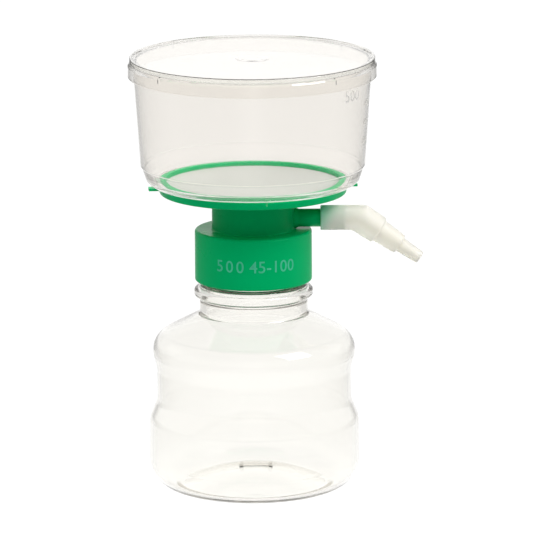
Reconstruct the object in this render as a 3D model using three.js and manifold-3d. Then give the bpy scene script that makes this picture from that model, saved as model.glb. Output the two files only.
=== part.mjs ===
// Vacuum filtration unit: a waisted receiver bottle, a screw-on filter base with a side arm,
// a membrane under a funnel cup, a lift-off lid and a stepped hose elbow.
// Millimetres, +Z up, origin on the unit's axis in the plane that the bottle stands on.

import * as THREE from "three";
import { mergeVertices } from "three/addons/utils/BufferGeometryUtils.js";
import Module from "manifold-3d";

const wasm = await Module();
wasm.setup();

// Driving dimensions. Heights are measured from the face named in each comment.

// Gaps between pieces
const seatGap = 0.3; // between faces that rest on or are bonded to each other
const slipGap = 0.3; // radial, between round pieces that slip or turn on each other

// Roundings shared by the moulded pieces
const edgeRound = 0.4; // along thin rims
const innerFillet = 0.8; // in the corners between walls

// Receiver bottle
const bottleWall = 1.9;
const bottleRadius = 50.3; // at the heel
const heelFillet = 13.8;
const footWidth = 2.6; // flat ring that the bottle stands on
const footFillet = 1;
const pushUpSlope = 5.3; // run from the flat ring in to the raised floor
const pushUpHeight = 7.3;
const pushUpFillet = 3;
const lowerBandTaper = 0.6; // from the heel's radius to the top of the lower band
const lowerBandHeight = 34;
const waistDepth = 3.5; // in from the lower band
const waistStart = 8.5; // above the lower band
const waistLength = 15;
const waistFillet = 9;
const shoulderFlare = 1.8; // out from the waist
const shoulderStart = 7.5; // above the waist
const shoulderBand = 7.9; // height of the upright band under the shoulder cone
const shoulderFillet = 9;
const shoulderRise = 11.6; // from the band to the foot of the neck
const neckBore = 22.3;
const neckWall = 3.4;
const neckLength = 7.3; // from the shoulder cone to the neck ring
const neckFootFillet = 1.5;
const neckRingReach = 2.5;
const neckRingWidth = 6;
const neckRingBevel = 1.8; // height of the sloping flank on each side of the ring
const neckRingFillet = 1.2;
const finishWall = 2.7; // neck above the ring, inside the collar
const finishLength = 22.7; // from the neck ring to the lip

// Collar gasket
const gasketThickness = 1.6;
const gasketReach = 1.8; // in from the bottle's bore

// Filter base
const threadRoom = 1.4; // radial, for the screw between the bottle and the collar
const collarWall = 1.4;
const collarGap = 2.5; // from the neck ring up to the collar's edge
const collarCeiling = 2.3;
const collarFillet = 1.4;
const stemRadius = 19.6; // hollow stem between the collar and the plate
const stemWall = 1.8;
const stemLength = 16.7;
const plateRadius = 45;
const plateRimTaper = 0.8; // in to the rim's lower corner
const plateRimHeight = 5.9;
const plateFloor = 1.8;
const plateFall = 1.2; // drop of the plate from its rim to its middle
const plateFillet = 1.2; // between the stem and the plate
const plateRimWidth = 2.5; // from the recess that holds the membrane to the rim
const recessDepth = 1.9; // from the rim's top to the membrane's top
const ribWidth = 1.2;
const ribCount = 24;
const ribGap = 1.5; // between a rib's outer end and the recess wall
const longRibStart = 2.4; // from the spout's outside
const shortRibStart = 12.6; // from the spout's outside
const spoutRadius = 5;
const spoutWall = 1.3;
const spoutLength = 23;
const armRadius = 4.3;
const armBore = 2.8;
const armLength = 23.6; // out from the stem
const armDrop = 12.9; // from the plate's lower corner to the arm's axis
const armRootFlare = 1;
const armRootLength = 2.2;
const earLength = 4.6; // out from the plate's rim
const earWidth = 5;
const earThickness = 1.2;
const earRise = 1.7; // from the plate's lower corner up to the ear
const earTurn = 5; // degrees from the arm
const armTurn = -45; // degrees; centres the bounding box on the axis

// Plug in the side arm
const plugLength = 9;
const plugInset = 7; // from the arm's end

// Membrane
const membraneThickness = 0.3;

// Funnel cup
const cupWall = 1.6;
const cupSkirt = 2.8; // how far the cup reaches down past the top of the plate's rim
const cupSkirtRound = 0.3;
const cupHoleMargin = 0.4; // from the plate's recess out to the hole in the cup's floor
const cupFloor = 0.9;
const cupHeelReach = 5.5; // from the plate's rim out to the heel
const cupHeelFillet = 3.2;
const cupFloorFillet = 2.2;
const cupBandFlare = 2.1; // out from the heel to the top of the band under the ledge
const cupBandHeight = 9.3; // from the cup's lower edge
const cupLedgeWidth = 0.7;
const cupLedgeHeight = 1.1;
const cupFlare = 3.3; // out from the ledge to the brim
const cupWallHeight = 49;

// Lid
const lidPanel = 1.3;
const lidWall = 2;
const lidHeight = 9.1;
const lidBeadStep = 0.8; // in from the skirt to the bead
const lidBeadWidth = 1.6;
const lidBeadHeight = 0.9; // above the panel
const lidSkirtStart = 3.8; // from the bead's top to the full width of the skirt
const lidBossRadius = 7.1;
const lidBossHeight = 0.7;
const lidGrooveDepth = 0.6;
const lidGrooveHeight = 0.6;
const lidGrooveDrop = 2.2; // from the bead's top to the groove
const lidNotchWidth = 0.9;
const lidNotchDepth = 0.7;
const lidNotchHeight = 3.2;
const lidNotchCount = 4;
const lidTurn = 41.5; // degrees from the arm to the first notch

// Hose elbow
const elbowWall = 1.32; // round the side arm
const armOverlap = 11.3; // how far the elbow reaches over the side arm
const socketEndGap = 0.5; // from the arm's end to the socket's
const bendDistance = 7.1; // from the arm's end to the bend
const bendEase = 7.1; // length over which the socket bends into the hose end
const elbowAngle = 34.5; // degrees that the hose end turns down
const elbowRim = 0.5;
const firstStepRadius = 6.9; // each step tapers from its radius to its tip
const firstStepTip = 6.75;
const firstStepLength = 11.1;
const secondStepRadius = 5.55;
const secondStepTip = 4.95;
const secondStepLength = 12;
const thirdStepRadius = 3.65;
const thirdStepTip = 3.05;
const thirdStepLength = 11.7;
const hoseStepRound = 0.6;
const hoseBore = 1.9;

// How finely round shapes are cut
const around = 40;
const aroundSmall = 20;
const arcStep = THREE.MathUtils.degToRad(22.5);
const fineStep = THREE.MathUtils.degToRad(45);
const fineFillet = 2; // fillets up to this radius are cut in fine steps
const overshoot = 1; // how far a cut reaches past the surface it opens

// Radii and lengths worked out from the sizes above
const lowerBandRadius = bottleRadius - lowerBandTaper;
const waistRadius = lowerBandRadius - waistDepth;
const shoulderRadius = waistRadius + shoulderFlare;
const neckRadius = neckBore + neckWall;
const neckRingRadius = neckRadius + neckRingReach;
const finishRadius = neckBore + finishWall;
const collarBore = finishRadius + threadRoom;
const collarRadius = collarBore + collarWall;
const stemBore = stemRadius - stemWall;
const spoutBore = spoutRadius - spoutWall;
const plateLowerRadius = plateRadius - plateRimTaper;
const recessRadius = plateRadius - plateRimWidth;
const armReach = stemRadius + armLength;
const cupHole = recessRadius + cupHoleMargin;
const cupSocket = plateRadius + slipGap;
const cupHeelRadius = plateRadius + cupHeelReach;
const cupBandRadius = cupHeelRadius + cupBandFlare;
const cupLedgeRadius = cupBandRadius + cupLedgeWidth;
const cupRimRadius = cupLedgeRadius + cupFlare;
const lidBore = cupRimRadius + slipGap;
const lidSkirtRadius = lidBore + lidWall;
const lidBeadRadius = lidSkirtRadius - lidBeadStep;
const elbowBore = armRadius + slipGap;
const elbowRadius = elbowBore + elbowWall;
const elbowStart = armReach - armOverlap;
const elbowBend = armReach + bendDistance;

// Heights worked out from the sizes above
const waistBottom = lowerBandHeight + waistStart;
const waistTop = waistBottom + waistLength;
const shoulderBottom = waistTop + shoulderStart;
const shoulderTop = shoulderBottom + shoulderBand;
const neckBottom = shoulderTop + shoulderRise;
const ringBottom = neckBottom + neckLength;
const ringTop = ringBottom + neckRingWidth;
const lipTop = ringTop + finishLength;
const gasketBottom = lipTop + seatGap;
const ceilingBottom = gasketBottom + gasketThickness + seatGap;
const collarTop = ceilingBottom + collarCeiling;
const collarBottom = ringTop + collarGap;
const plateMiddle = collarTop + stemLength;
const plateBottom = plateMiddle + plateFall;
const plateTop = plateBottom + plateRimHeight;
const membraneTop = plateTop - recessDepth;
const ribTop = membraneTop - membraneThickness - seatGap;
const armHeight = plateBottom - armDrop;
const cupBottom = plateTop - cupSkirt;
const cupFloorBottom = plateTop + seatGap;
const cupFloorTop = cupFloorBottom + cupFloor;
const cupBandTop = cupBottom + cupBandHeight;
const cupLedgeTop = cupBandTop + cupLedgeHeight;
const cupRimTop = cupLedgeTop + cupWallHeight;
const lidPanelBottom = cupRimTop + seatGap;
const lidPanelTop = lidPanelBottom + lidPanel;
const lidTop = lidPanelTop + lidBeadHeight;
const lidSkirtBottom = lidTop - lidHeight;

// Solids, joined and cut

function toSolid(geometry) {
  const plain = geometry.clone();
  plain.deleteAttribute("normal");
  plain.deleteAttribute("uv");
  const merged = mergeVertices(plain, 1e-4);
  const index = merged.index.array;
  const triangles = [];
  for (let i = 0; i < index.length; i += 3) {
    const [a, b, c] = index.slice(i, i + 3);
    if (a !== b && b !== c && c !== a) triangles.push(a, b, c);
  }
  return new wasm.Manifold(
    new wasm.Mesh({
      numProp: 3,
      vertProperties: merged.attributes.position.array,
      triVerts: new Uint32Array(triangles),
    }),
  );
}

function toGeometry(solid) {
  const mesh = solid.getMesh();
  const geometry = new THREE.BufferGeometry();
  geometry.setAttribute("position", new THREE.BufferAttribute(mesh.vertProperties, 3));
  geometry.setIndex(new THREE.BufferAttribute(mesh.triVerts, 1));
  const faceted = geometry.toNonIndexed();
  faceted.computeVertexNormals();
  return faceted;
}

// Outlines of turned pieces: lists of [radius, height, fillet] corners that run outwards
// along the underside, up the outside and back inwards, with the material on their left.

const direction = (from, to) => to.clone().sub(from).normalize();
const corner = ([radius, height]) => new THREE.Vector2(radius, height);

// Moves an outline to its left by the wall, as the inside of a thin shell.
function inset(corners, wall) {
  return corners.map((entry, i) => {
    const point = corner(entry);
    const before = corners[i - 1] && direction(corner(corners[i - 1]), point);
    const after = corners[i + 1] && direction(point, corner(corners[i + 1]));
    const a = before ?? after;
    const b = after ?? before;
    const turn = a.cross(b);
    const shift = wall / (1 + a.dot(b));
    const moved = point.add(
      new THREE.Vector2(-a.y - b.y, a.x + b.x).multiplyScalar(shift),
    );
    const fillet = entry[2] ? entry[2] - Math.sign(turn) * wall : 0;
    return [moved.x, moved.y, Math.max(fillet, 0)];
  });
}

// The arc that rounds a corner, and the reach that it takes of the edges on either side.
function filletAt(points, i, radius) {
  const point = points[i];
  const back = direction(point, points.at(i - 1));
  const ahead = direction(point, points[(i + 1) % points.length]);
  const halfAngle = Math.acos(THREE.MathUtils.clamp(back.dot(ahead), -1, 1)) / 2;
  return { back, ahead, halfAngle, reach: radius / Math.tan(halfAngle) };
}

// Replaces each filleted corner by an arc. Two fillets that ask for more than the edge
// between them share it.
function outline(corners, closed = false) {
  const points = corners.map(corner);
  const last = corners.length - 1;
  const fillets = corners.map(([, , radius = 0], i) => {
    const end = !closed && (i === 0 || i === last);
    return radius && !end ? filletAt(points, i, radius) : null;
  });
  const share = (i, k) => {
    const wanted = fillets[i].reach + (fillets[k]?.reach ?? 0);
    return Math.min(1, points[i].distanceTo(points[k]) / wanted);
  };
  return points.flatMap((point, i) => {
    if (!fillets[i]) return [point];
    const { back, ahead, halfAngle, reach } = fillets[i];
    const before = (i + last) % (last + 1);
    const after = (i + 1) % (last + 1);
    const kept = reach * Math.min(share(i, before), share(i, after)) * 0.999;
    const radius = kept * Math.tan(halfAngle);
    const middle = back.clone().add(ahead).normalize();
    const centre = point.clone().addScaledVector(middle, radius / Math.sin(halfAngle));
    const from = point.clone().addScaledVector(back, kept).sub(centre);
    const sweep = Math.PI - 2 * halfAngle;
    const step = corners[i][2] > fineFillet ? arcStep : fineStep;
    const steps = Math.max(1, Math.ceil(sweep / step - 1e-6));
    const turn = (-Math.sign(back.cross(ahead)) * sweep) / steps;
    return Array.from({ length: steps + 1 }, (_, k) =>
      from.clone().rotateAround(new THREE.Vector2(), turn * k).add(centre),
    );
  });
}

// Turned solid about +Z. A ring's outline closes on itself; any other starts and ends on the axis.
function turned(corners, { ring = false, segments = around } = {}) {
  const points = outline(corners, ring);
  if (ring) points.push(points[0].clone());
  return toSolid(new THREE.LatheGeometry(points, segments).rotateX(Math.PI / 2));
}

// Round bar or tapered bar along +X, from x to x + length.
function barAlongX(startRadius, endRadius, length, x, height, segments = aroundSmall) {
  const bar = new THREE.CylinderGeometry(endRadius, startRadius, length, segments);
  return toSolid(bar.rotateZ(-Math.PI / 2).translate(x + length / 2, 0, height));
}

// Receiver bottle

function bottleSide(neck) {
  const coneSlope = shoulderRise / (shoulderRadius - neckRadius);
  const footInner = bottleRadius - heelFillet - footWidth;
  return [
    [0, pushUpHeight],
    [footInner - pushUpSlope, pushUpHeight, pushUpFillet],
    [footInner, 0, footFillet],
    [bottleRadius, 0, heelFillet],
    [lowerBandRadius, lowerBandHeight, waistFillet],
    [waistRadius, waistBottom, waistFillet],
    [waistRadius, waistTop, waistFillet],
    [shoulderRadius, shoulderBottom, waistFillet],
    [shoulderRadius, shoulderTop, shoulderFillet],
    [neck, shoulderTop + (shoulderRadius - neck) * coneSlope, neckFootFillet],
  ];
}

function bottleSolid() {
  const outside = [
    ...bottleSide(neckRadius),
    [neckRadius, ringBottom, innerFillet],
    [neckRingRadius, ringBottom + neckRingBevel, neckRingFillet],
    [neckRingRadius, ringTop - neckRingBevel, neckRingFillet],
    [finishRadius, ringTop, innerFillet],
    [finishRadius, lipTop, edgeRound],
  ];
  const inside = inset(
    [...bottleSide(neckBore + bottleWall), [neckBore + bottleWall, lipTop]],
    bottleWall,
  );
  return turned([...outside, ...inside.reverse()]);
}

// Collar gasket

function gasketSolid() {
  const inner = neckBore - gasketReach;
  const outer = collarBore - slipGap;
  return turned(
    [
      [inner, gasketBottom],
      [outer, gasketBottom],
      [outer, gasketBottom + gasketThickness],
      [inner, gasketBottom + gasketThickness],
    ],
    { ring: true },
  );
}

// Filter base: collar, stem, plate with its drain spout, side arm and ears, moulded in one piece

function baseShell() {
  const drainTop = plateMiddle + plateFloor;
  return turned(
    [
      [spoutBore, plateMiddle - spoutLength],
      [spoutRadius, plateMiddle - spoutLength],
      [spoutRadius, plateMiddle, innerFillet],
      [stemBore, plateMiddle, innerFillet],
      [stemBore, ceilingBottom],
      [collarBore, ceilingBottom],
      [collarBore, collarBottom],
      [collarRadius, collarBottom, collarFillet],
      [collarRadius, collarTop, collarFillet],
      [stemRadius, collarTop, innerFillet],
      [stemRadius, plateMiddle, plateFillet],
      [plateLowerRadius, plateBottom, edgeRound],
      [plateRadius, cupBottom],
      [plateRadius, plateTop, edgeRound],
      [recessRadius, plateTop, edgeRound],
      [recessRadius, drainTop + plateFall],
      [spoutBore, drainTop, innerFillet],
    ],
    { ring: true },
  );
}

// Ribs that hold the membrane above the sloping floor and root in its thickness; every
// second one is short.
function supportRibs() {
  const outer = recessRadius - ribGap;
  const slope = plateFall / (recessRadius - spoutBore);
  const rootAt = (radius) => plateMiddle + plateFloor / 2 + slope * (radius - spoutBore);
  return Array.from({ length: ribCount }, (_, i) => {
    const inner = spoutRadius + (i % 2 ? shortRibStart : longRibStart);
    const side = new THREE.Shape()
      .moveTo(inner, rootAt(inner))
      .lineTo(outer, rootAt(outer))
      .lineTo(outer, ribTop)
      .lineTo(inner, ribTop)
      .closePath();
    const rib = new THREE.ExtrudeGeometry(side, { depth: ribWidth, bevelEnabled: false });
    rib.rotateX(Math.PI / 2).translate(0, ribWidth / 2, 0);
    return toSolid(rib.rotateZ((2 * Math.PI * i) / ribCount));
  });
}

function ear(turn) {
  const tipRadius = earWidth / 2;
  const inner = plateLowerRadius - tipRadius;
  const tip = plateRadius + earLength - tipRadius;
  const shape = new THREE.Shape()
    .moveTo(inner, -tipRadius)
    .lineTo(tip, -tipRadius)
    .absarc(tip, 0, tipRadius, -Math.PI / 2, Math.PI / 2)
    .lineTo(inner, tipRadius)
    .closePath();
  const plate = new THREE.ExtrudeGeometry(shape, {
    depth: earThickness,
    bevelEnabled: false,
    curveSegments: 6,
  });
  plate.translate(0, 0, plateBottom + earRise);
  return toSolid(plate.rotateZ(THREE.MathUtils.degToRad(turn)));
}

function baseSolid() {
  const rootStart = stemBore + stemWall / 2;
  const rootLength = stemRadius - rootStart + armRootLength;
  const rootRadius = armRadius + armRootFlare;
  const root = barAlongX(rootRadius, armRadius, rootLength, rootStart, armHeight);
  const arm = barAlongX(armRadius, armRadius, armReach - rootStart, rootStart, armHeight);
  const boreStart = stemBore - overshoot;
  const boreLength = armReach - boreStart + overshoot;
  const bore = barAlongX(armBore, armBore, boreLength, boreStart, armHeight);
  const pieces = [...supportRibs(), ear(earTurn), ear(earTurn + 180), root, arm];
  return pieces.reduce((whole, piece) => whole.add(piece), baseShell()).subtract(bore);
}

function plugSolid() {
  const radius = armBore - slipGap;
  return barAlongX(radius, radius, plugLength, armReach - plugInset - plugLength, armHeight);
}

// Membrane

function membraneSolid() {
  const radius = recessRadius - slipGap;
  return turned([
    [0, membraneTop - membraneThickness],
    [radius, membraneTop - membraneThickness],
    [radius, membraneTop],
    [0, membraneTop],
  ]);
}

// Funnel cup: its floor lies on the rim of the plate and its heel reaches down around it

function cupSolid() {
  return turned(
    [
      [cupHole, cupFloorBottom],
      [cupSocket, cupFloorBottom],
      [cupSocket, cupBottom, cupSkirtRound],
      [cupHeelRadius, cupBottom, cupHeelFillet],
      [cupBandRadius, cupBandTop],
      [cupLedgeRadius, cupLedgeTop],
      [cupRimRadius, cupRimTop, edgeRound],
      [cupRimRadius - cupWall, cupRimTop, edgeRound],
      [cupLedgeRadius - cupWall, cupLedgeTop],
      [cupBandRadius - cupWall, cupBandTop],
      [cupHeelRadius - cupWall, cupFloorTop, cupFloorFillet],
      [cupHole, cupFloorTop, edgeRound],
    ],
    { ring: true },
  );
}

// Lid

function arcBand(inner, outer, bottom, height, startTurn, sweep) {
  const start = THREE.MathUtils.degToRad(startTurn);
  const end = THREE.MathUtils.degToRad(startTurn + sweep);
  const shape = new THREE.Shape()
    .absarc(0, 0, outer, start, end, false)
    .absarc(0, 0, inner, end, start, true)
    .closePath();
  const band = new THREE.ExtrudeGeometry(shape, {
    depth: height,
    bevelEnabled: false,
    curveSegments: around / 4,
  });
  return toSolid(band.translate(0, 0, bottom));
}

function lidSolid() {
  const beadInner = lidBeadRadius - lidBeadWidth;
  const cap = turned([
    [0, lidPanelBottom],
    [lidBore, lidPanelBottom],
    [lidBore, lidSkirtBottom],
    [lidSkirtRadius, lidSkirtBottom, edgeRound],
    [lidSkirtRadius, lidTop - lidSkirtStart, innerFillet],
    [lidBeadRadius, lidTop - lidGrooveDrop],
    [lidBeadRadius, lidTop, edgeRound],
    [beadInner, lidTop, edgeRound],
    [beadInner, lidPanelTop],
    [lidBossRadius, lidPanelTop],
    [lidBossRadius, lidPanelTop + lidBossHeight],
    [0, lidPanelTop + lidBossHeight],
  ]);
  const past = lidSkirtRadius + overshoot;
  const grooveBottom = lidTop - lidGrooveDrop - lidGrooveHeight;
  const grooveFloor = lidBeadRadius - lidGrooveDepth;
  const grooves = [-90, 90].map((turn) =>
    arcBand(grooveFloor, past, grooveBottom, lidGrooveHeight, lidTurn + turn, 90),
  );
  const notchBottom = lidTop - lidGrooveDrop - lidNotchHeight;
  const notchFloor = lidSkirtRadius - lidNotchDepth;
  const notches = Array.from({ length: lidNotchCount }, (_, i) => {
    const notch = new THREE.BoxGeometry(past - notchFloor, lidNotchWidth, lidNotchHeight);
    notch.translate((past + notchFloor) / 2, 0, notchBottom + lidNotchHeight / 2);
    const turn = lidTurn + (i * 360) / lidNotchCount;
    return toSolid(notch.rotateZ(THREE.MathUtils.degToRad(turn)));
  });
  return [...grooves, ...notches].reduce((whole, cut) => whole.subtract(cut), cap);
}

// Hose elbow: a socket over the side arm, then a stepped hose end turned down

// Skin through elliptical sections in the X-Z plane's direction, closed at both ends.
function loft(sections, segments = aroundSmall) {
  const positions = [];
  const index = [];
  for (const { centre, up, tall, wide } of sections) {
    for (let k = 0; k < segments; k += 1) {
      const angle = (2 * Math.PI * k) / segments;
      const point = centre.clone().addScaledVector(up, tall * Math.cos(angle));
      positions.push(point.x, point.y - wide * Math.sin(angle), point.z);
    }
  }
  sections.slice(1).forEach((_, row) => {
    for (let k = 0; k < segments; k += 1) {
      const a = row * segments + k;
      const b = row * segments + ((k + 1) % segments);
      index.push(a, b, a + segments, b, b + segments, a + segments);
    }
  });
  for (let k = 1; k < segments - 1; k += 1) {
    const last = (sections.length - 1) * segments;
    index.push(0, k + 1, k, last, last + k, last + k + 1);
  }
  const skin = new THREE.BufferGeometry();
  skin.setAttribute("position", new THREE.Float32BufferAttribute(positions, 3));
  skin.setIndex(index);
  return toSolid(skin);
}

function elbowSolid() {
  const angle = THREE.MathUtils.degToRad(elbowAngle);
  const bend = new THREE.Vector3(elbowBend, 0, armHeight);
  const along = new THREE.Vector3(Math.cos(angle), 0, -Math.sin(angle));
  const across = new THREE.Vector3(Math.sin(angle), 0, Math.cos(angle));
  const upright = new THREE.Vector3(0, 0, 1);
  const round = (centre, up, radius) => ({ centre, up, tall: radius, wide: radius });
  const onSocket = (x, radius) => round(new THREE.Vector3(x, 0, armHeight), upright, radius);
  const onHose = (distance, radius) =>
    round(bend.clone().addScaledVector(along, distance), across, radius);

  // The two legs meet where their outlines cross, above and below the bend.
  const lean = (firstStepRadius - elbowRadius * Math.cos(angle)) / Math.sin(angle);
  const mitre = new THREE.Vector3(lean, 0, elbowRadius);
  const knuckle = {
    centre: bend,
    up: mitre.clone().normalize(),
    tall: mitre.length(),
    wide: (elbowRadius + firstStepRadius) / 2,
  };
  const sections = [
    onSocket(elbowStart, elbowRadius - elbowRim),
    onSocket(elbowStart + elbowRim, elbowRadius),
    onSocket(elbowBend - bendEase, elbowRadius),
    knuckle,
  ];
  const hoseSteps = [
    [firstStepRadius, firstStepTip, firstStepLength],
    [secondStepRadius, secondStepTip, secondStepLength],
    [thirdStepRadius, thirdStepTip, thirdStepLength],
  ];
  let distance = 0;
  for (const [radius, tip, length] of hoseSteps) {
    if (distance > 0) sections.push(onHose(distance, radius));
    distance += length;
    sections.push(onHose(distance - hoseStepRound, tip));
    sections.push(onHose(distance, tip - hoseStepRound / 2));
  }
  const socket = loft([
    onSocket(elbowStart - overshoot, elbowBore),
    onSocket(armReach + socketEndGap, elbowBore),
  ]);
  const passage = loft([
    onSocket(elbowStart, hoseBore),
    round(bend, across.clone().add(upright).normalize(), hoseBore),
    onHose(distance + overshoot, hoseBore),
  ]);
  return loft(sections).subtract(socket).subtract(passage);
}

// Looks of the pieces

const clearStyrene = { color: 0xf4f2ea, roughness: 0.08, opacity: 0.35, transparent: true };
const greenPlastic = { color: 0x00985a, roughness: 0.32 };
const naturalPlastic = { color: 0xe6e4dc, roughness: 0.5 };
const whiteMembrane = { color: 0xdcddd6, roughness: 0.9 };
const whiteCotton = { color: 0xf3f2ee, roughness: 1 };
const softSeal = { color: 0xe2e2de, roughness: 0.7 };

function piece(name, solid, look) {
  const material = new THREE.MeshStandardMaterial({ metalness: 0, ...look });
  const mesh = new THREE.Mesh(toGeometry(solid), material);
  mesh.name = name;
  return mesh;
}

const head = new THREE.Group();
head.add(
  piece("filter_base", baseSolid(), greenPlastic),
  piece("port_plug", plugSolid(), whiteCotton),
  piece("membrane", membraneSolid(), whiteMembrane),
  piece("funnel_cup", cupSolid(), clearStyrene),
  piece("lid", lidSolid(), clearStyrene),
  piece("hose_elbow", elbowSolid(), naturalPlastic),
);
head.rotation.z = THREE.MathUtils.degToRad(armTurn);

const unit = new THREE.Group();
unit.add(
  piece("receiver_bottle", bottleSolid(), clearStyrene),
  piece("collar_gasket", gasketSolid(), softSeal),
  head,
);

export default unit;
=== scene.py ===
# Vacuum filtration unit: a waisted receiver bottle, a green filter base with a side arm,
# a membrane under a clear funnel cup, a lift-off lid and a stepped hose elbow.
# Outlines are in millimetres, [radius, height, fillet], with heights from the foot of the
# piece's own solid. The scene is in metres.

import math

import bmesh
import bpy
from mathutils import Matrix, Vector


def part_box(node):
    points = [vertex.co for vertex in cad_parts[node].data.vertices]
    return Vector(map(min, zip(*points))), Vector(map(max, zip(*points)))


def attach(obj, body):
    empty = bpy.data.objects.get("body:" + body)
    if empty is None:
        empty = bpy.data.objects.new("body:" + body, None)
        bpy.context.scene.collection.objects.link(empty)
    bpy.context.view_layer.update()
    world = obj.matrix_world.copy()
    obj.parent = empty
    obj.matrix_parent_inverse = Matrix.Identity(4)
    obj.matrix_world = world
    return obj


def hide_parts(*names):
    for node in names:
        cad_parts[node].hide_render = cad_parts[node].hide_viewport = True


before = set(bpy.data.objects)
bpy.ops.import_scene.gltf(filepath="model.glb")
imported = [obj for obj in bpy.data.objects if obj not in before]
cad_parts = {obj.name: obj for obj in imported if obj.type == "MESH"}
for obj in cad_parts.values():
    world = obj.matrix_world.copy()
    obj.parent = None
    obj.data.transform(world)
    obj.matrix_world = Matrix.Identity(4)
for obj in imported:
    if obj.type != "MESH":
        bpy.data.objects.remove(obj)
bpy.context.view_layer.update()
print("frame loaded:", ", ".join(sorted(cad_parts)))

mm = 0.001
armTurn = math.radians(-45)  # the side arm's direction about +Z
smoothAngle = math.radians(32)
weldDistance = 1e-6

# Small helpers


def footOf(node):
    return round(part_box(node)[0].z / mm, 3)


def fromFoot(node, corners):
    foot = footOf(node)
    return [[radius, height + foot, *fillet] for radius, height, *fillet in corners]


def deselectAll():
    if bpy.context.mode != "OBJECT":
        bpy.ops.object.mode_set(mode="OBJECT")
    bpy.ops.object.select_all(action="DESELECT")


def makeActive(*pieces):
    deselectAll()
    for piece in pieces:
        piece.select_set(True)
    bpy.context.view_layer.objects.active = pieces[0]


def editMode(piece, selectMode="VERT"):
    makeActive(piece)
    bpy.ops.object.mode_set(mode="EDIT")
    bpy.ops.mesh.select_mode(type=selectMode)


def pickVertices(test):
    mesh = bmesh.from_edit_mesh(bpy.context.edit_object.data)
    bpy.ops.mesh.select_all(action="DESELECT")
    for vertex in mesh.verts:
        vertex.select_set(test(vertex.co))
    mesh.select_flush_mode()
    bmesh.update_edit_mesh(bpy.context.edit_object.data)


def near(*points):
    return lambda co: any((co - Vector(point)).length < 2 * weldDistance for point in points)


def bakePlace(piece):
    makeActive(piece)
    bpy.ops.object.transform_apply(location=True, rotation=True, scale=True)


def turnPiece(piece, angle, axis="Z"):
    piece.rotation_euler = [angle if name == axis else 0 for name in "XYZ"]
    bakePlace(piece)


def roundEdges(reach, segments, affect="EDGES"):
    bpy.ops.mesh.bevel(affect=affect, offset_type="OFFSET", offset=reach * mm, segments=segments)


def applyModifier(piece, kind, **values):
    makeActive(piece)
    bpy.ops.object.modifier_add(type=kind)
    modifier = piece.modifiers[-1]
    for name, value in values.items():
        setattr(modifier, name, value)
    bpy.ops.object.modifier_apply(modifier=modifier.name)


def combine(piece, other, operation):
    applyModifier(piece, "BOOLEAN", operation=operation, object=other, solver="EXACT")
    bpy.data.objects.remove(other)


def joinPieces(pieces, name):
    makeActive(*pieces)
    bpy.ops.object.join()
    bpy.context.object.name = name
    return bpy.context.object


def tidyMesh(piece):
    editMode(piece)
    bpy.ops.mesh.select_all(action="SELECT")
    bpy.ops.mesh.remove_doubles(threshold=weldDistance)
    bpy.ops.mesh.normals_make_consistent(inside=False)
    bpy.ops.object.mode_set(mode="OBJECT")


def finishShading(piece):
    makeActive(piece)
    bpy.ops.object.shade_smooth_by_angle(angle=smoothAngle)
    applyModifier(piece, "WEIGHTED_NORMAL", keep_sharp=True, weight=60)


# Turned pieces: an outline is drawn corner by corner, rounded, then spun

fillets = {
    "slack": 0.998,  # keeps neighbouring fillets from meeting
    "small": 0.6,
    "smallSegments": 3,
    "segments": 6,
}


def drawOutline(name, corners):
    # A plane merged to one vertex is extruded from corner to corner.
    radius, height = corners[0][:2]
    deselectAll()
    bpy.ops.mesh.primitive_plane_add(size=mm, location=(radius * mm, 0, height * mm))
    piece = bpy.context.object
    piece.name = name
    bakePlace(piece)
    editMode(piece)
    bpy.ops.mesh.select_all(action="SELECT")
    bpy.ops.mesh.merge(type="CENTER")
    for here, ahead in zip(corners, corners[1:]):
        move = ((ahead[0] - here[0]) * mm, 0, (ahead[1] - here[1]) * mm)
        bpy.ops.mesh.extrude_vertices_move(TRANSFORM_OT_translate={"value": move})
    return piece


def closeOutline(corners):
    ends = [(corner[0] * mm, 0, corner[1] * mm) for corner in (corners[0], corners[-1])]
    pickVertices(near(*ends))
    bpy.ops.mesh.edge_face_add()


def filletReaches(corners, ring):
    # Two fillets that ask for more than the edge between them share it.
    points = [Vector(corner[:2]) for corner in corners]
    last = len(points) - 1
    reaches = []
    for index, corner in enumerate(corners):
        radius = corner[2] if len(corner) > 2 else 0
        if not radius or (not ring and index in (0, last)):
            reaches.append(0)
            continue
        back = points[index - 1] - points[index]
        ahead = points[(index + 1) % len(points)] - points[index]
        reaches.append(radius / math.tan(back.angle(ahead) / 2))

    def share(here, there):
        wanted = reaches[here] + reaches[there]
        return min(1, (points[here] - points[there]).length / wanted) if wanted else 1

    slack = fillets["slack"]
    return [
        reach * min(share(index, index - 1), share(index, (index + 1) % (last + 1))) * slack
        for index, reach in enumerate(reaches)
    ]


def spinOutline(name, corners, steps, ring=True, sweep=360):
    piece = drawOutline(name, corners)
    if ring:
        closeOutline(corners)
    for corner, reach in zip(corners, filletReaches(corners, ring)):
        if reach > 0:
            pickVertices(near((corner[0] * mm, 0, corner[1] * mm)))
            size = "segments" if corner[2] > fillets["small"] else "smallSegments"
            roundEdges(reach, fillets[size], "VERTICES")
    bpy.ops.mesh.select_all(action="SELECT")
    bpy.ops.mesh.spin(steps=steps, angle=math.radians(sweep), center=(0, 0, 0), axis=(0, 0, 1))
    if sweep < 360:
        for turn in (0, math.radians(sweep)):
            across = Vector((-math.sin(turn), math.cos(turn), 0))
            pickVertices(lambda co: abs(co.dot(across)) < weldDistance)
            bpy.ops.mesh.edge_face_add()
    tidyMesh(piece)
    return piece


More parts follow.
